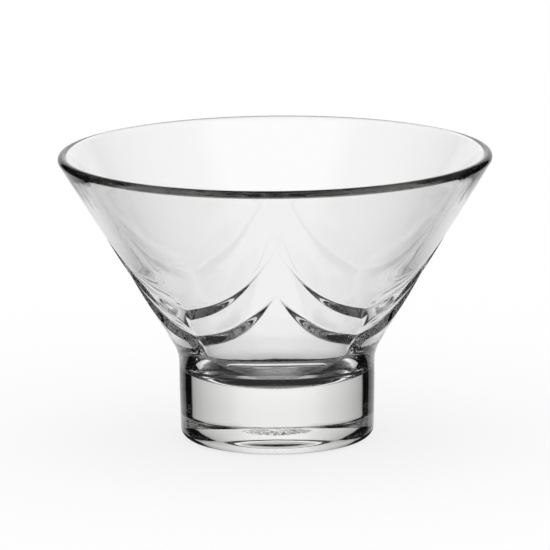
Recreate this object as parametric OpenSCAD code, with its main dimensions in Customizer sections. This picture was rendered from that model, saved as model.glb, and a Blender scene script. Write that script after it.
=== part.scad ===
// Pressed sundae glass: a wide conical bowl with draped swags, on a solid round foot.
// Millimetres, +Z up, origin at the centre of the circle that the foot stands on.

/* [Overall] */
// Height of the whole glass
glass_h = 80; // [64:0.5:110]
// Diameter over the rim
rim_d = 120; // [96:1:150]

/* [Bowl] */
// Thickness of the rounded lip
lip_t = 2.6; // [2:0.1:4]
// Wall at the neck, measured level
neck_wall = 4.4; // [3.5:0.1:8]
// Height above the foot at which the bowl's side would meet the foot's side
neck_rise = 9.3; // [7:0.1:16]
// Radius of the hollow blend between the foot's side and the bowl's side
neck_blend_r = 14; // [4:0.5:16]
// Glass under the inside floor, down to the joint with the foot
floor_t = 2.4; // [1.5:0.1:5]
// Radius inside, between the floor and the side
well_r = 8.5; // [4:0.5:12]

/* [Swags] */
// Panels around the bowl, each with a left and a right half
panels = 4; // [3:1:6]
// Plain strip between neighbouring panels, as an angle
strip_angle = 5; // [2:0.5:10]
// Depth below the rim at which the upper swag starts, at the middle of its panel
upper_start = 16.7; // [10:0.1:24]
// Height above the neck at which the upper swag ends
upper_end = 14.2; // [11:0.1:20]
// Depth below the rim at which the lower swag starts
lower_start = 32; // [26:0.1:40]
// Height above the neck at which the lower swag ends
lower_end = 6.2; // [4.5:0.1:8]
// Share of a swag's width over which most of its fall happens
swag_bend = 0.37; // [0.25:0.01:0.6]
// Depth of the hollow above each swag's ledge
ledge_depth = 1.25; // [0.6:0.05:2]
// Slant of the ledge, from the plain surface
ledge_slant = 31; // [20:1:60]
// Length up the side over which the hollow runs out to the plain surface
ledge_run = 6.5; // [4:0.5:8]
// Depth of the crease in the plain strip between neighbouring panels
crease_depth = 0.7; // [0.3:0.05:1]
// Share of the strip that the crease takes up
crease_share = 0.8; // [0.4:0.05:0.9]

/* [Foot] */
// Diameter of the foot at its joint with the bowl
foot_d = 54.3; // [44:0.1:70]
// Height of the foot up to the joint
foot_h = 15; // [12:0.5:26]
// Draft: how much smaller the foot's radius is at the bottom
foot_draft = 0.25; // [0:0.05:1]
// Radius of the foot's lower corner
foot_corner_r = 3.2; // [2:0.1:7]
// Width of the ring that the foot stands on
bearing_w = 2.5; // [1.5:0.1:5]
// Depth of the hollow underneath, at its middle
punt_depth = 3.6; // [0.8:0.1:4]
// Diameter of the stippled disc in the middle of the hollow
disc_d = 13; // [6:0.5:20]
// Depth of that disc above the hollow
disc_depth = 0.2; // [0.1:0.1:1]

/* [Hidden] */
$fn = 96;

arc_step = 6;
swag_steps = 14;
close_steps = 6;

// Radii and heights that the two pieces share
foot_r = foot_d / 2;
foot_base_r = foot_r - foot_draft;
joint_z = foot_h;
neck_z = joint_z + neck_rise;
floor_z = joint_z + floor_t;

// Lip: a circle whose top and outer side touch the overall sizes
lip_r = lip_t / 2;
lip_c = [rim_d / 2 - lip_r, glass_h - lip_r];

// Side lines, each from a point at the neck to its tangent on the lip
function lean(from, side) =
    let (v = lip_c - from)
    atan2(v.x, v.y) + side * asin(lip_r / norm(v));
neck_in = [foot_r - neck_wall, neck_z];
outer_lean = lean([foot_r, neck_z], 1);
inner_lean = lean(neck_in, -1);
function outer_r(z) = foot_r + (z - neck_z) * tan(outer_lean);
function inner_r(z) = neck_in.x + (z - neck_z) * tan(inner_lean);

// Well: the circle that rounds the inside floor into the side
well_c = [inner_r(floor_z + well_r) - well_r / cos(inner_lean), floor_z + well_r];

// Neck blend: its centre stands off the foot's side and the bowl's side alike
blend_c = [foot_r + neck_blend_r, neck_z - neck_blend_r * tan(outer_lean / 2)];

// Hollow underneath, a shallow dome over the circle inside the bearing ring
bearing_r = foot_base_r - foot_corner_r;
punt_r = bearing_r - bearing_w;
punt_ball_r = (pow(punt_r, 2) + pow(punt_depth, 2)) / (2 * punt_depth);

// Points along an arc, from one angle to the other
function arc(c, r, from, to) =
    let (n = ceil(abs(to - from) / arc_step))
    [for (i = [0 : n]) let (a = from + (to - from) * i / n) c + r * [cos(a), sin(a)]];

// Outside of the bowl from the joint up, round the lip, and down the inside to the floor
bowl_outline = concat(
    [[0, joint_z], [foot_r, joint_z]],
    arc(blend_c, neck_blend_r, 180, 180 - outer_lean),
    arc(lip_c, lip_r, -outer_lean, 180 - inner_lean),
    arc(well_c, well_r, -inner_lean, -90),
    [[0, floor_z]]
);

foot_outline = concat(
    [[0, 0]],
    arc([bearing_r, foot_corner_r], foot_corner_r, -90, 0),
    [[foot_r, joint_z], [0, joint_z]]
);

// Swags: each half panel runs from its middle, share 0, to the plain strip, share 1
half_panel = 180 / panels;
swag_span = half_panel - strip_angle / 2;
out = [cos(outer_lean), -sin(outer_lean)];
up = [sin(outer_lean), cos(outer_lean)];
cut_margin = 0.6;
cut_skin = 0.25;
share_start = 0.03;
share_full = 0.55;
share_close = 0.9;

// Shares at which a swag is drawn, closer together where its end rounds off
swag_shares = concat(
    [for (i = [0 : swag_steps]) share_start + (share_close - share_start) * i / swag_steps],
    [for (i = [1 : close_steps]) share_close + (1 - share_close) * sin(90 * i / close_steps)]
);
function swag_fall(s) = (1 - exp(-s / swag_bend)) / (1 - exp(-1 / swag_bend));
function swag_swell(s) = sin(90 * min(s / share_full, 1));
function swag_round(s) = sqrt(1 - pow(max(s - share_close, 0) / (1 - share_close), 2));
function ledge_cut(s) = ledge_depth * swag_swell(s) * swag_round(s) - cut_skin;

// A point of the half plane [radius, height] turned to an angle round the axis
function turned(p, angle) = [p.x * cos(angle), p.x * sin(angle), p.y];

// A solid drawn through triangles, each with its points in the same order
module drawn_through(sections) {
    last = len(sections) - 1;
    sides = [
        for (i = [0 : last - 1], j = [0 : 2])
            let (k = 3 * i, n = (j + 1) % 3)
            each [[k + n, k + j, k + 3 + n], [k + 3 + n, k + j, k + 3 + j]]
    ];
    ends = [[0, 1, 2], [3 * last + 2, 3 * last + 1, 3 * last]];
    polyhedron([for (t = sections) each t], concat(sides, ends));
}

// The hollow over one half swag: a wedge, deepest behind its ledge and run out upwards
module half_swag_cut(start_z, end_z) {
    run = ledge_run * (ledge_depth + cut_margin) / ledge_depth;
    sections = [
        for (s = swag_shares)
            let (
                z = start_z + (end_z - start_z) * swag_fall(s),
                edge = [outer_r(z), z],
                cut = ledge_cut(s),
                wedge = [
                    edge + out * cut_margin - up * cut_margin / tan(ledge_slant),
                    edge - out * cut + up * cut / tan(ledge_slant),
                    edge + out * cut_margin + up * run
                ]
            )
            [for (p = wedge) turned(p, swag_span * s)]
    ];
    drawn_through(sections);
}

// The crease between two panels, run out above the upper swags and at the neck blend
module crease_cut() {
    half_w = crease_share * foot_r * sin(strip_angle / 2);
    low = neck_blend_r * tan(outer_lean / 2) + half_w;
    middle = lower_end / cos(outer_lean) + half_w;
    high = upper_end / cos(outer_lean) + ledge_run;
    sections = [
        for (p = [[low, -cut_skin], [middle, crease_depth], [high, -cut_skin]])
            let (
                at = [foot_r, neck_z] + up * p.x,
                root = at - out * p.y,
                edge = at + out * cut_margin
            )
            [[edge.x, -half_w, edge.y], [root.x, 0, root.y], [edge.x, half_w, edge.y]]
    ];
    drawn_through(sections);
}

module panel_cuts(start_z, end_z) {
    half_swag_cut(start_z, end_z);
    mirror([0, 1, 0]) half_swag_cut(start_z, end_z);
}

module bowl() {
    color("gainsboro")
    difference() {
        rotate_extrude() polygon(bowl_outline);
        for (i = [0 : panels - 1]) rotate(360 / panels * i - 90) {
            panel_cuts(lip_c.y - upper_start, neck_z + upper_end);
            panel_cuts(lip_c.y - lower_start, neck_z + lower_end);
            rotate(half_panel) crease_cut();
        }
    }
}

module foot() {
    color("whitesmoke")
    difference() {
        rotate_extrude() polygon(foot_outline);
        translate([0, 0, punt_depth - punt_ball_r]) sphere(punt_ball_r);
        cylinder(h = punt_depth + disc_depth, d = disc_d);
    }
}

bowl();
foot();
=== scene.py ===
import math
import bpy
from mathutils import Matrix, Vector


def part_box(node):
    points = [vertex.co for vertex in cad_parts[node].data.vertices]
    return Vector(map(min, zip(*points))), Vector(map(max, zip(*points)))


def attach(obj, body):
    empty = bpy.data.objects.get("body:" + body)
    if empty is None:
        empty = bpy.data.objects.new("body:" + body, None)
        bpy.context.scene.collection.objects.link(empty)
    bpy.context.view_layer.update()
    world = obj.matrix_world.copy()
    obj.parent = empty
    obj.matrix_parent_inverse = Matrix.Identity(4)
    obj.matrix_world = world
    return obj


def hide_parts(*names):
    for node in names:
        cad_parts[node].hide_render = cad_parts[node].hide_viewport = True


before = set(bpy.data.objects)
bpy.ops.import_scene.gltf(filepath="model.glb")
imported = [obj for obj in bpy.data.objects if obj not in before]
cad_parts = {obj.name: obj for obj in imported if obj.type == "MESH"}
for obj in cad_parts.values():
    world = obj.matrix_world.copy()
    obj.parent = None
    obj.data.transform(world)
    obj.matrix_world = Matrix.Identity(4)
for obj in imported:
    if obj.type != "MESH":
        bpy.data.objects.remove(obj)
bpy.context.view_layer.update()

from types import SimpleNamespace

import bpy
import numpy as np
from mathutils import Matrix, Vector, noise

MM = 0.001

# Sizes that the frame gives
FOOT_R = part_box("foot")[1].x
JOINT_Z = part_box("foot")[1].z
RIM_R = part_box("bowl")[1].x
GLASS_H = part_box("bowl")[1].z

# Bowl
LIP_R = 1.3 * MM
NECK_Z = 24.3 * MM
NECK_BLEND_R = 12 * MM
NECK_WALL = 4.4 * MM
FLOOR_Z = 17.0 * MM
WELL_R = 8.5 * MM

# Foot, with a hollow underneath and a stippled disc in its middle
FOOT_DRAFT = 0.25 * MM
FOOT_CORNER_R = 3.2 * MM
BEARING_W = 2.5 * MM
PUNT_DEPTH = 3.45 * MM
DISC_R = 6.5 * MM
STIPPLE_SIZE = 0.5 * MM
STIPPLE_DEPTH = 0.22 * MM
STIPPLE_FADE = 0.4 * MM

# Two tiers of swags on each half panel, each running from the panel's middle to the plain strip at its crease
HALF_PANEL = math.radians(45)
SWAG_SPAN = math.radians(43)
UPPER = SimpleNamespace(
    # Heights of the line's two ends, and how soon it flattens
    start=62.4 * MM,
    end=38.4 * MM,
    bend=0.37,
    # Depth of the ledge, the share of the line where it is full, and the part that its end loses
    depth=1.5 * MM,
    full=0.9,
    ease=0.0,
    # Angle from the panel's middle past which the side sinks towards the crease, and its slope there
    edge=math.radians(41.6),
    edge_slope=0.3,
)
LOWER = SimpleNamespace(
    # Heights of the line's two ends, and how soon it flattens
    start=48.2 * MM,
    end=31.0 * MM,
    bend=0.31,
    # Depth of the ledge, the share of the line where it is full, and the part that its end loses
    depth=1.45 * MM,
    full=0.45,
    ease=0.2,
    # Angle from the panel's middle past which the side sinks towards the crease, and its slope there
    edge=math.radians(41.0),
    edge_slope=0.45,
)

# Ledges of the swags, and the hollows that run out above them
LEDGE_SLOPE = 0.62
LEDGE_RUN = 10.0 * MM
LEDGE_ROUND = 0.12 * MM
TAIL_ROUND = 1.6 * LEDGE_ROUND
TAIL_ROUND_SHARE = 0.3
EDGE_ROUND = 0.8 * MM
CREASE_ROUND = math.radians(0.8)
NECK_FADE = 4 * MM

# Fineness of the meshes
COLUMNS = 480
CROWDING = 0.4
START_PLANE = 2 * MM
FAN_R = 5 * MM
JOINT_STEPS = 4
NECK_STEPS = 3
BLEND_STEPS = 14
LOW_ROWS, MIDDLE_ROWS, HIGH_ROWS = 6, 8, 14
LIP_STEPS = 24
INSIDE_STEPS = 18
WELL_STEPS = 14
DISC_RINGS = 30
DISC_FAN_R = 1 * MM
PUNT_RINGS = 18
PUNT_RING_GAP = 0.5 * MM
BEARING_STEPS = 3
CORNER_STEPS = 14
FOOT_STEPS = 6
SMOOTH_ANGLE = math.radians(40)

# Slack for telling points and faces by their place
MERGE = 0.001 * MM
SLACK = 0.01 * MM
SIDE_SLACK = 0.02 * MM
NEARLY_LEVEL = 0.9

# Glass
GLASS_IOR = 1.52
THIN_TINT = (1, 1, 1, 1)
THICK_TINT = (0.9, 0.902, 0.885, 1)
TINT_FADE = 3 * MM
# Painted shade: a dark colour on the lip's outer half, where light goes in, in place of light that the wall
# loses
LIP_PAINTED_SHADE = (0.08, 0.08, 0.073, 1)
LIP_SHADE_HEIGHT, LIP_SHADE_FADE = 1.95 * MM, 0.15 * MM
LIP_SHADE_INNER, LIP_SHADE_OUTER = 0.1, 0.35
WAVE_SIZE = 9 * MM
WAVE_DEPTH = 0.03 * MM
WAVE_DETAIL = 2

# Camera: a long lens, at the photograph's angle
IMAGE_W = 550
FOCAL_PIXELS = 5986
SENSOR_W = 36
CAM_DISTANCE = 1660 * MM
CAM_ELEVATION = math.radians(11.6)
CAM_TARGET = Vector((0, 0, 38.8 * MM))
CAM_AIM = Vector((-0.3 * MM, 0, 45.4 * MM))
CAM_ROLL = math.radians(-0.52)
CAM_REACH = 50

# Floor, and a dark pad of painted shadow under the foot that only the glass sees
ROUND_STEPS = 128
FLOOR_R = 3.0
FLOOR_ROUGHNESS = 0.9
FLOOR_GLOW = 0.75
PAD_R = 29 * MM
PAD_Z = -0.05 * MM
PAD_SHADOW_LEVEL = 0.03
PAD_MIDDLE = 0.2
PAD_MIDDLE_R = 9 * MM
PAD_SOFT = 3 * MM

# Backdrop: white behind the glass, dark to the sides, above and behind the camera
BACKDROP_R = 0.3
BACKDROP_SEGMENTS, BACKDROP_RINGS = 96, 48
BACKDROP_SPAN = math.radians(90)
BACKDROP_LOW, BACKDROP_HIGH = math.radians(-40), math.radians(52)
BACKDROP_SOFT = math.radians(4)
DARK = 0.004

# Its level at angles across, in degrees from straight behind the glass
BACKDROP_LEVELS = (
    (0, 1.0), (6, 1.0), (13, 0.95), (18, 0.84), (24.5, 0.75),
    (31.5, 0.65), (40, 0.53), (43.7, 0.44), (46, 0),
)

# It is narrower higher up, and dimmer low down
BACKDROP_NARROW = 0.15
BACKDROP_NARROW_FROM, BACKDROP_NARROW_TO = math.radians(6), math.radians(14)
BACKDROP_DIM = 0.4
BACKDROP_DIM_FROM, BACKDROP_DIM_TO = math.radians(-10), math.radians(-42)

# A dimmer white panel overhead, on the camera's side
OVERHEAD = 0.65
OVERHEAD_FROM, OVERHEAD_TO = math.radians(34), math.radians(62)
OVERHEAD_HALF = 0.45
OVERHEAD_SOFT = 0.1

# How often light may bounce, inside glass and through the fused joint
BOUNCES = 64
JOINT_BOUNCES = 16


def arc(centre, radius, start, end, steps):
    """Points [radius, height] along an arc, angles in radians."""
    angles = [start + (end - start) * i / steps for i in range(steps + 1)]
    return [(centre[0] + radius * math.cos(a), centre[1] + radius * math.sin(a)) for a in angles]


def between(a, b, steps):
    """Points after a and before b on a straight line."""
    return [tuple(np.array(a) + (np.array(b) - np.array(a)) * i / steps) for i in range(1, steps)]


# Side lines of the bowl, tangent to the lip
LIP_C = (RIM_R - LIP_R, GLASS_H - LIP_R)


def lean(r, z, side):
    """Lean from upright of the line from a point to the lip's outer side, 1, or its inner side, -1."""
    dr, dz = LIP_C[0] - r, LIP_C[1] - z
    return math.atan2(dr, dz) + side * math.asin(LIP_R / math.hypot(dr, dz))


OUTER_LEAN = lean(FOOT_R, NECK_Z, 1)
INNER_LEAN = lean(FOOT_R - NECK_WALL, NECK_Z, -1)
BLEND_RISE = NECK_BLEND_R * math.tan(OUTER_LEAN / 2)
BLEND_C = (FOOT_R + NECK_BLEND_R, NECK_Z - BLEND_RISE)
UP = np.array([math.sin(OUTER_LEAN), math.cos(OUTER_LEAN)])
OUT = np.array([math.cos(OUTER_LEAN), -math.sin(OUTER_LEAN)])
NECK = np.array([FOOT_R, NECK_Z])
SIDE_LOW = BLEND_RISE
SIDE_HIGH = (LIP_C[1] - LIP_R * math.sin(OUTER_LEAN) - NECK_Z) / math.cos(OUTER_LEAN)


def side_at(z):
    """Distance up the bowl's side, from the neck, of a height."""
    return (z - NECK_Z) / math.cos(OUTER_LEAN)


def inner_r(z):
    """Radius of the bowl's straight inner side at a height."""
    return FOOT_R - NECK_WALL + (z - NECK_Z) * math.tan(INNER_LEAN)


WELL_C = (inner_r(FLOOR_Z + WELL_R) - WELL_R / math.cos(INNER_LEAN), FLOOR_Z + WELL_R)

# Rows up the side: each is a share of the way between two lines, or an offset from a swag's line
NEAR = [x * MM for x in (-1.2, -0.7, -0.4, -0.2, -0.1, 0, 0.1, 0.25, 0.5, 0.8, 1.1, 1.4, 1.7, 1.9, 2.05, 2.2,
                         2.35, 2.55, 2.9, 3.4, 4.0)]
ROWS = [("low", x / LOW_ROWS) for x in range(LOW_ROWS)]
ROWS += [("lower", x) for x in NEAR]
ROWS += [("middle", x / MIDDLE_ROWS) for x in range(1, MIDDLE_ROWS)]
ROWS += [("upper", x) for x in NEAR]
ROWS += [("high", x / HIGH_ROWS) for x in range(1, HIGH_ROWS + 1)]


def row_places(lower, upper):
    """Distance up the side of every row; each swag is its line's own distance and the stretch of its rows."""
    swags = {"lower": lower, "upper": upper}

    def beside(swag, offset):
        line, stretch = swags[swag]
        return line + offset * stretch

    ends = {
        "low": (SIDE_LOW, beside("lower", NEAR[0])),
        "middle": (beside("lower", NEAR[-1]), beside("upper", NEAR[0])),
        "high": (beside("upper", NEAR[-1]), SIDE_HIGH),
    }
    places = []
    for kind, x in ROWS:
        if kind in swags:
            places.append(beside(kind, x))
        else:
            a, b = ends[kind]
            places.append(a + (b - a) * x)
    return np.array(places)


PLAIN_ROWS = row_places((side_at(LOWER.end), 1.0), (side_at(UPPER.end), 1.0))


def turned_piece(name, outline):
    """An outline of points [radius, height], drawn as a chain and spun about the glass's axis."""
    bpy.ops.object.select_all(action="DESELECT")
    bpy.ops.mesh.primitive_plane_add(size=START_PLANE, location=(0, 0, 0))
    piece = bpy.context.object
    piece.name = name
    piece.data.name = name
    bpy.ops.object.mode_set(mode="EDIT")
    bpy.ops.mesh.merge(type="CENTER")
    bpy.ops.transform.translate(value=(outline[0][0], 0, outline[0][1]))
    for a, b in zip(outline, outline[1:]):
        bpy.ops.mesh.extrude_region_move(TRANSFORM_OT_translate={"value": (b[0] - a[0], 0, b[1] - a[1])})
    bpy.ops.mesh.select_all(action="SELECT")
    bpy.ops.mesh.spin(steps=COLUMNS, angle=2 * math.pi, center=(0, 0, 0), axis=(0, 0, 1))
    bpy.ops.mesh.select_all(action="SELECT")
    bpy.ops.mesh.remove_doubles(threshold=MERGE)
    bpy.ops.mesh.normals_make_consistent(inside=False)
    bpy.ops.object.mode_set(mode="OBJECT")
    return piece


def points_of(piece):
    """A piece's points, as rows of x, y and z."""
    co = np.zeros(len(piece.data.vertices) * 3)
    piece.data.vertices.foreach_get("co", co)
    return co.reshape(-1, 3)


def put_points(piece, co):
    """Move a piece's points to new places."""
    piece.data.vertices.foreach_set("co", co.ravel())
    piece.data.update()


def larger(a, b, k):
    """The larger of two values, rounded over where they meet."""
    return (a + b + np.sqrt((a - b) ** 2 + k * k)) / 2


def eased(x):
    """From 0 to 1 with soft ends, as x goes from 0 to 1."""
    x = np.clip(x, 0, 1)
    return x * x * (3 - 2 * x)


def swag_line(tier, share):
    """Distance up the side of a swag's line, and how much longer its ledge is up the side than across it."""
    full = 1 - math.exp(-1 / tier.bend)
    side = side_at(tier.start + (tier.end - tier.start) * (1 - np.exp(-share / tier.bend)) / full)
    rise = side_at(tier.end) - side_at(tier.start)
    steep = rise * np.exp(-share / tier.bend) / (tier.bend * full) / (SWAG_SPAN * (NECK[0] + side * UP[0]))
    return side, np.sqrt(1 + steep ** 2)


def swag_depth(tier, share):
    """Depth of a ledge along its swag, swelling from the panel's middle and easing off to its end."""
    past = np.maximum(0, share - tier.full) / (1 - tier.full)
    return tier.depth * (np.sin(np.pi / 2 * np.minimum(share / tier.full, 1)) - tier.ease * past ** 2)


def recess(tier, swag, share, toward, place):
    """Depth of a tier's hollow, which sinks in at its ledge and at the crease, and runs out above."""
    line, stretch = swag
    above = (place - line) / stretch
    edge_rise = tier.edge_slope * (toward - tier.edge) * (NECK[0] + place * UP[0])
    depth = swag_depth(tier, share)
    rise = larger(larger(LEDGE_SLOPE * above, edge_rise, EDGE_ROUND), 0, LEDGE_ROUND)
    tail = depth * np.maximum(0, 1 - np.maximum(0, above - depth / LEDGE_SLOPE) / LEDGE_RUN) ** 2
    blend = np.minimum(TAIL_ROUND, TAIL_ROUND_SHARE * depth)
    return np.maximum(0, -larger(-rise, -tail, blend))


def panel_turn(angle):
    """Angle from the middle of the nearest panel."""
    return (angle + HALF_PANEL) % (2 * HALF_PANEL) - HALF_PANEL


def crowded(angle):
    """Turn the columns closer together towards the creases between the panels."""
    panel = 2 * HALF_PANEL
    return angle + CROWDING * panel / (2 * np.pi) * np.sin(2 * np.pi * panel_turn(angle) / panel)


def drape(bowl):
    """Slide the rows of the bowl's side to the swags' lines, and press the ledges into it."""
    co = points_of(bowl)
    radius = np.hypot(co[:, 0], co[:, 1])
    angle = crowded(np.arctan2(co[:, 1], co[:, 0]))
    co[:, :2] = np.c_[radius * np.cos(angle), radius * np.sin(angle)]
    side = (radius - NECK[0]) * UP[0] + (co[:, 2] - NECK[1]) * UP[1]
    off = (radius - NECK[0]) * OUT[0] + (co[:, 2] - NECK[1]) * OUT[1]
    on_side = (np.abs(off) < SIDE_SLACK) & (side > SIDE_LOW - SLACK) & (side < SIDE_HIGH + SLACK)
    row = np.argmin(np.abs(side[on_side, None] - PLAIN_ROWS[None]), axis=1)
    angle = angle[on_side]
    turn = np.abs(panel_turn(angle))
    toward = HALF_PANEL + CREASE_ROUND / 2 - np.hypot(HALF_PANEL - turn, CREASE_ROUND)
    share = np.minimum(turn / SWAG_SPAN, 1)
    lower = swag_line(LOWER, share)
    upper = swag_line(UPPER, share)
    place = row_places(lower, upper)[row, np.arange(len(row))]
    depth = np.maximum(recess(LOWER, lower, share, toward, place), recess(UPPER, upper, share, toward, place))
    depth *= eased((place - SIDE_LOW) / NECK_FADE)
    r = NECK[0] + place * UP[0] - depth * OUT[0]
    z = NECK[1] + place * UP[1] - depth * OUT[1]
    co[on_side] = np.c_[r * np.cos(angle), r * np.sin(angle), z]
    put_points(bowl, co)


def joint_face():
    """Points along the flat face where bowl and foot meet, from the axis outwards."""
    fan, edge = (FAN_R, JOINT_Z), (FOOT_R, JOINT_Z)
    return [(0, JOINT_Z), fan] + between(fan, edge, JOINT_STEPS) + [edge]


def make_bowl():
    """The bowl: joint face, neck, draped side, lip, inside and well."""
    side = [tuple(NECK + s * UP) for s in PLAIN_ROWS]
    lip = arc(LIP_C, LIP_R, -OUTER_LEAN, math.pi - INNER_LEAN, LIP_STEPS)
    well = arc(WELL_C, WELL_R, -INNER_LEAN, -math.pi / 2, WELL_STEPS)
    outline = joint_face()
    outline += between((FOOT_R, JOINT_Z), (FOOT_R, BLEND_C[1]), NECK_STEPS)
    outline += arc(BLEND_C, NECK_BLEND_R, math.pi, math.pi - OUTER_LEAN, BLEND_STEPS)[:-1]
    outline += side[:-1] + lip + between(lip[-1], well[0], INSIDE_STEPS) + well
    outline += [(FAN_R, FLOOR_Z), (0, FLOOR_Z)]
    bowl = turned_piece("bowl_glass", outline)
    drape(bowl)
    return bowl


def make_foot():
    """The foot: hollow underneath, bearing ring, lower corner, side and joint face."""
    base_r = FOOT_R - FOOT_DRAFT
    bearing = base_r - FOOT_CORNER_R
    punt_r = bearing - BEARING_W
    ball_r = (punt_r ** 2 + PUNT_DEPTH ** 2) / (2 * PUNT_DEPTH)
    rings = [r for r in np.linspace(0, DISC_R, DISC_RINGS) if r == 0 or r > DISC_FAN_R]
    rings += list(np.linspace(DISC_R + PUNT_RING_GAP, punt_r, PUNT_RINGS))
    outline = [(r, PUNT_DEPTH - ball_r + math.sqrt(ball_r ** 2 - r * r)) for r in rings]
    outline += between((punt_r, 0), (bearing, 0), BEARING_STEPS)
    outline += arc((bearing, FOOT_CORNER_R), FOOT_CORNER_R, -math.pi / 2, 0, CORNER_STEPS)
    outline += between((base_r, FOOT_CORNER_R), (FOOT_R, JOINT_Z), FOOT_STEPS)
    outline += reversed(joint_face())
    foot = turned_piece("foot_glass", outline)
    stipple(foot)
    return foot


def stipple(foot):
    """Raise small uneven bumps on the disc in the middle of the hollow underneath."""
    co = points_of(foot)
    radius = np.hypot(co[:, 0], co[:, 1])
    disc = (radius < DISC_R) & (co[:, 2] < PUNT_DEPTH + SLACK)
    fade = np.clip((DISC_R - radius[disc]) / STIPPLE_FADE, 0, 1)
    bumps = [noise.noise(Vector((x, y, 0)) / STIPPLE_SIZE) for x, y in co[disc, :2]]
    co[disc, 2] += STIPPLE_DEPTH * fade * np.array(bumps)
    put_points(foot, co)


def finish_piece(piece, node, glass, fused):
    """Smooth the surface, give the joint's face its own finish, and stand for the node."""
    bpy.ops.object.select_all(action="DESELECT")
    piece.select_set(True)
    bpy.context.view_layer.objects.active = piece
    bpy.ops.object.shade_smooth_by_angle(angle=SMOOTH_ANGLE)
    piece.data.materials.append(glass)
    piece.data.materials.append(fused)
    for face in piece.data.polygons:
        if abs(face.center.z - JOINT_Z) < MERGE and abs(face.normal.z) > NEARLY_LEVEL:
            face.material_index = 1
    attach(piece, "root")
    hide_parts(node)


def put(tree, socket, value):
    """Link another node's socket to this one, or set it to a plain value."""
    if isinstance(value, bpy.types.NodeSocket):
        tree.links.new(value, socket)
    else:
        socket.default_value = value


def math_node(tree, operation, *values):
    node = tree.nodes.new("ShaderNodeMath")
    node.operation = operation
    for socket, value in zip(node.inputs, values):
        put(tree, socket, value)
    return node.outputs[0]


def product(tree, first, *others):
    """All the values multiplied."""
    for other in others:
        first = math_node(tree, "MULTIPLY", first, other)
    return first


def vector_node(tree, operation, *values):
    node = tree.nodes.new("ShaderNodeVectorMath")
    node.operation = operation
    for socket, value in zip(node.inputs, values):
        put(tree, socket, value)
    return node


def soft_step(tree, value, start, end):
    """From 0 at the start to 1 at the end, with soft ends."""
    node = tree.nodes.new("ShaderNodeMapRange")
    node.interpolation_type = "SMOOTHSTEP"
    tree.links.new(value, node.inputs["Value"])
    node.inputs["From Min"].default_value = start
    node.inputs["From Max"].default_value = end
    return node.outputs["Result"]


def soft_band(tree, value, low, high, soft):
    """1 between the low and the high value, and 0 outside them, with soft edges."""
    half = soft / 2
    over = soft_step(tree, value, low - half, low + half)
    under = soft_step(tree, value, high + half, high - half)
    return product(tree, over, under)


def mix_colours(tree, share, first, second):
    """The first colour where the share is 0, and the second where it is 1."""
    node = tree.nodes.new("ShaderNodeMix")
    node.data_type = "RGBA"
    colours = [socket for socket in node.inputs if socket.type == "RGBA"]
    put(tree, node.inputs["Factor"], share)
    put(tree, colours[0], first)
    put(tree, colours[1], second)
    return next(socket for socket in node.outputs if socket.type == "RGBA")


def plain_material(name):
    """A new material with its Principled shader, and its node tree."""
    mat = bpy.data.materials.new(name)
    mat.use_nodes = True
    return mat, mat.node_tree, mat.node_tree.nodes["Principled BSDF"]


def show(tree, shader):
    """Put a shader on the material's surface."""
    tree.links.new(shader.outputs[0], tree.nodes["Material Output"].inputs["Surface"])


def glow(tree, level):
    """Make the material a plain light of that level."""
    light = tree.nodes.new("ShaderNodeEmission")
    tree.links.new(level, light.inputs["Color"])
    show(tree, light)


def glass_body():
    """Tint of the glass, deeper in the thick foot; painted shade on the lip's outer half; the waves that
    pressing leaves.
    """
    group = bpy.data.node_groups.new("glass_body", "ShaderNodeTree")
    group.interface.new_socket("Tint", in_out="OUTPUT", socket_type="NodeSocketColor")
    group.interface.new_socket("Lip", in_out="OUTPUT", socket_type="NodeSocketFloat")
    group.interface.new_socket("Waviness", in_out="OUTPUT", socket_type="NodeSocketFloat")
    nodes, links = group.nodes, group.links
    place = nodes.new("ShaderNodeTexCoord")
    split = nodes.new("ShaderNodeSeparateXYZ")
    links.new(place.outputs["Object"], split.inputs[0])
    height = split.outputs["Z"]
    thick = soft_step(group, height, JOINT_Z + TINT_FADE, JOINT_Z - TINT_FADE)
    tint = mix_colours(group, thick, THIN_TINT, THICK_TINT)
    edge_z = GLASS_H - LIP_SHADE_HEIGHT
    in_lip_shade_band = soft_step(group, height, edge_z - LIP_SHADE_FADE, edge_z + LIP_SHADE_FADE)
    level = vector_node(group, "MULTIPLY", place.outputs["Object"], (1, 1, 0)).outputs["Vector"]
    outward = vector_node(group, "NORMALIZE", level).outputs["Vector"]
    facing = vector_node(group, "DOT_PRODUCT", place.outputs["Normal"], outward).outputs["Value"]
    # Mask of the painted shade on the lip's outer half
    lip = product(group, in_lip_shade_band, soft_step(group, facing, LIP_SHADE_INNER, LIP_SHADE_OUTER))
    waves = nodes.new("ShaderNodeTexNoise")
    waves.inputs["Scale"].default_value = 1 / WAVE_SIZE
    waves.inputs["Detail"].default_value = WAVE_DETAIL
    links.new(place.outputs["Object"], waves.inputs["Vector"])
    end = nodes.new("NodeGroupOutput")
    links.new(tint, end.inputs["Tint"])
    links.new(lip, end.inputs["Lip"])
    links.new(waves.outputs[0], end.inputs["Waviness"])
    return group


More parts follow.
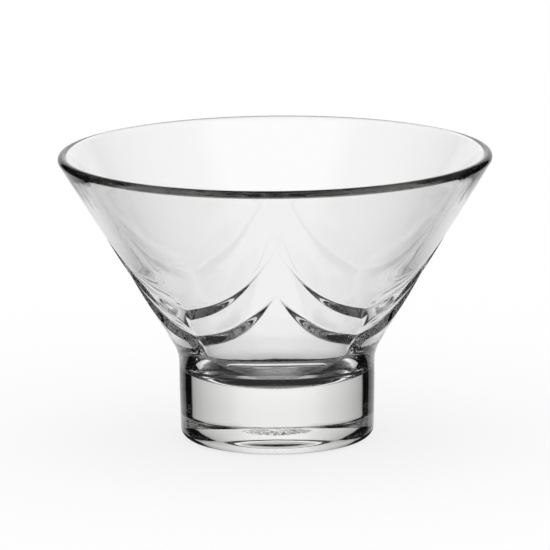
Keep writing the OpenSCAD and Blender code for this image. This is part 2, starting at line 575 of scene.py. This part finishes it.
def clear_glass():
    """Clear pressed glass. Painted shade: a dark colour on the lip's outer half, where light goes in, stands
    in for light that the wall loses.
    """
    mat, tree, shader = plain_material("clear_glass")
    shader.inputs["Roughness"].default_value = 0.0
    shader.inputs["IOR"].default_value = GLASS_IOR
    shader.inputs["Transmission Weight"].default_value = 1.0
    body = tree.nodes.new("ShaderNodeGroup")
    body.node_tree = glass_body()
    bump = tree.nodes.new("ShaderNodeBump")
    bump.inputs["Strength"].default_value = 1.0
    bump.inputs["Distance"].default_value = WAVE_DEPTH
    tree.links.new(body.outputs["Waviness"], bump.inputs["Height"])
    tree.links.new(bump.outputs["Normal"], shader.inputs["Normal"])
    surface = tree.nodes.new("ShaderNodeNewGeometry")
    entering = math_node(tree, "SUBTRACT", 1.0, surface.outputs["Backfacing"])
    # Painted shade on the lip's outer half, for light going in there
    lip_painted_shade = product(tree, body.outputs["Lip"], entering)
    colour = mix_colours(tree, lip_painted_shade, body.outputs["Tint"], LIP_PAINTED_SHADE)
    tree.links.new(colour, shader.inputs["Base Color"])
    return mat


def fused_glass():
    """The fused joint: nothing shows where the bowl's glass goes on into the foot's."""
    mat, tree, shader = plain_material("fused_joint")
    tree.nodes.remove(shader)
    show(tree, tree.nodes.new("ShaderNodeBsdfTransparent"))
    return mat


def make_camera():
    data = bpy.data.cameras.new("camera")
    data.lens = FOCAL_PIXELS * SENSOR_W / IMAGE_W
    data.sensor_width = SENSOR_W
    data.clip_end = CAM_REACH
    camera = bpy.data.objects.new("camera", data)
    bpy.context.scene.collection.objects.link(camera)
    back = Vector((0, -math.cos(CAM_ELEVATION), math.sin(CAM_ELEVATION)))
    camera.location = CAM_TARGET + CAM_DISTANCE * back
    look = (CAM_AIM - camera.location).to_track_quat("-Z", "Y")
    camera.rotation_mode = "QUATERNION"
    camera.rotation_quaternion = look @ Matrix.Rotation(CAM_ROLL, 3, "Z").to_quaternion()
    bpy.context.scene.camera = camera
    return camera


def make_world():
    """Even white light from all round."""
    world = bpy.data.worlds.new("studio")
    bpy.context.scene.world = world
    world.use_nodes = True
    back = world.node_tree.nodes["Background"]
    back.inputs["Color"].default_value = (1, 1, 1, 1)
    back.inputs["Strength"].default_value = 1.0


def round_sheet(name, radius, z, mat):
    """A flat round sheet with its middle on the glass's axis."""
    bpy.ops.object.select_all(action="DESELECT")
    bpy.ops.mesh.primitive_circle_add(
        vertices=ROUND_STEPS, radius=radius, fill_type="NGON", location=(0, 0, z))
    sheet = bpy.context.object
    sheet.name = name
    sheet.data.materials.append(mat)
    return sheet


def only_in_glass(thing):
    """Leave a thing to be seen in the glass alone, without lighting or shading the rest."""
    thing.visible_camera = False
    thing.visible_diffuse = False
    thing.visible_shadow = False


def pale_floor():
    """White, mostly at a plain level of its own, so that it stays pale and still takes a soft shadow."""
    mat, tree, shader = plain_material("pale_floor")
    shader.inputs["Base Color"].default_value = (1, 1, 1, 1)
    shader.inputs["Roughness"].default_value = FLOOR_ROUGHNESS
    shader.inputs["Specular IOR Level"].default_value = 0.0
    path = tree.nodes.new("ShaderNodeLightPath")
    seen = math_node(tree, "MAXIMUM", path.outputs["Is Camera Ray"], path.outputs["Is Glossy Ray"])
    seen = math_node(tree, "MAXIMUM", seen, path.outputs["Is Transmission Ray"])
    plain = tree.nodes.new("ShaderNodeEmission")
    mix = tree.nodes.new("ShaderNodeMixShader")
    tree.links.new(product(tree, seen, FLOOR_GLOW), mix.inputs[0])
    tree.links.new(shader.outputs[0], mix.inputs[1])
    tree.links.new(plain.outputs[0], mix.inputs[2])
    show(tree, mix)
    return mat


def make_floor():
    """A plain pale floor that takes the glass's shadow. The glass itself shows the backdrop and the pad of
    painted shadow.
    """
    floor = round_sheet("floor", FLOOR_R, 0, pale_floor())
    floor.visible_transmission = False
    floor.visible_glossy = False


def painted_shadow_pad():
    """Painted shadow: dark, and lighter in the middle."""
    mat, tree, shader = plain_material("painted_shadow_pad")
    tree.nodes.remove(shader)
    place = tree.nodes.new("ShaderNodeTexCoord")
    out = vector_node(tree, "LENGTH", place.outputs["Object"]).outputs["Value"]
    middle = soft_step(tree, out, PAD_MIDDLE_R + PAD_SOFT, PAD_MIDDLE_R - PAD_SOFT)
    glow(tree, math_node(tree, "MULTIPLY_ADD", middle, PAD_MIDDLE - PAD_SHADOW_LEVEL, PAD_SHADOW_LEVEL))
    return mat


def make_painted_shadow_pad():
    """A dark pad of painted shadow under the foot, as the glass sees it."""
    pad = round_sheet("painted_shadow_pad", PAD_R, PAD_Z, painted_shadow_pad())
    only_in_glass(pad)


def white_behind(tree, across, height):
    """The white behind the glass: brightest in the middle, narrower higher up, dimmer low down."""
    narrow = soft_step(tree, height, BACKDROP_NARROW_FROM, BACKDROP_NARROW_TO)
    across = product(tree, across, math_node(tree, "MULTIPLY_ADD", narrow, BACKDROP_NARROW, 1.0))
    ramp = tree.nodes.new("ShaderNodeValToRGB")
    tree.links.new(math_node(tree, "DIVIDE", across, BACKDROP_SPAN), ramp.inputs[0])
    stops = ramp.color_ramp.elements
    for angle, level in BACKDROP_LEVELS:
        stop = stops.new(math.radians(angle) / BACKDROP_SPAN)
        stop.color = (level, level, level, 1)
    stops.remove(stops[0])
    stops.remove(stops[-1])
    tall = soft_band(tree, height, BACKDROP_LOW, BACKDROP_HIGH, BACKDROP_SOFT)
    dim = soft_step(tree, height, BACKDROP_DIM_FROM, BACKDROP_DIM_TO)
    return product(tree, ramp.outputs[0], tall, math_node(tree, "MULTIPLY_ADD", dim, -BACKDROP_DIM, 1.0))


def panel_overhead(tree, x, y, height):
    """The panel overhead, on the camera's side alone."""
    tall = soft_band(tree, height, OVERHEAD_FROM, OVERHEAD_TO, BACKDROP_SOFT)
    aside = math_node(tree, "DIVIDE", math_node(tree, "ABSOLUTE", x), BACKDROP_R)
    wide = soft_step(tree, aside, OVERHEAD_HALF + OVERHEAD_SOFT, OVERHEAD_HALF - OVERHEAD_SOFT)
    near = soft_step(tree, y, 0.0, -OVERHEAD_SOFT * BACKDROP_R)
    return product(tree, tall, wide, near)


def studio_backdrop():
    """Levels of the backdrop, by the angle across from straight behind the glass and the height."""
    mat, tree, shader = plain_material("backdrop")
    tree.nodes.remove(shader)
    place = tree.nodes.new("ShaderNodeTexCoord")
    split = tree.nodes.new("ShaderNodeSeparateXYZ")
    tree.links.new(place.outputs["Object"], split.inputs[0])
    x, y, z = split.outputs
    across = math_node(tree, "ARCTAN2", math_node(tree, "ABSOLUTE", x), y)
    height = math_node(tree, "ARCSINE", math_node(tree, "DIVIDE", z, BACKDROP_R))
    white = white_behind(tree, across, height)
    white = math_node(tree, "MULTIPLY_ADD", panel_overhead(tree, x, y, height), OVERHEAD, white)
    glow(tree, math_node(tree, "MULTIPLY_ADD", white, 1 - DARK, DARK))
    return mat


def make_backdrop(camera):
    """A round studio backdrop that only the glass sees, turned with the camera."""
    rig = bpy.data.objects.new("backdrop_turn", None)
    bpy.context.scene.collection.objects.link(rig)
    rig.location = CAM_TARGET
    turn = rig.constraints.new("TRACK_TO")
    turn.target = camera
    turn.track_axis = "TRACK_NEGATIVE_Y"
    turn.up_axis = "UP_Z"
    bpy.ops.object.select_all(action="DESELECT")
    bpy.ops.mesh.primitive_uv_sphere_add(
        segments=BACKDROP_SEGMENTS, ring_count=BACKDROP_RINGS, radius=BACKDROP_R, location=(0, 0, 0))
    drop = bpy.context.object
    drop.name = "backdrop"
    drop.data.materials.append(studio_backdrop())
    only_in_glass(drop)
    drop.parent = rig


glass = clear_glass()
fused = fused_glass()
bowl = make_bowl()
foot = make_foot()
finish_piece(bowl, "bowl", glass, fused)
finish_piece(foot, "foot", glass, fused)

camera = make_camera()
make_world()
make_floor()
make_painted_shadow_pad()
make_backdrop(camera)

scene = bpy.context.scene
scene.view_settings.view_transform = "Standard"
scene.cycles.max_bounces = BOUNCES
scene.cycles.transmission_bounces = BOUNCES
scene.cycles.glossy_bounces = BOUNCES
scene.cycles.transparent_max_bounces = JOINT_BOUNCES
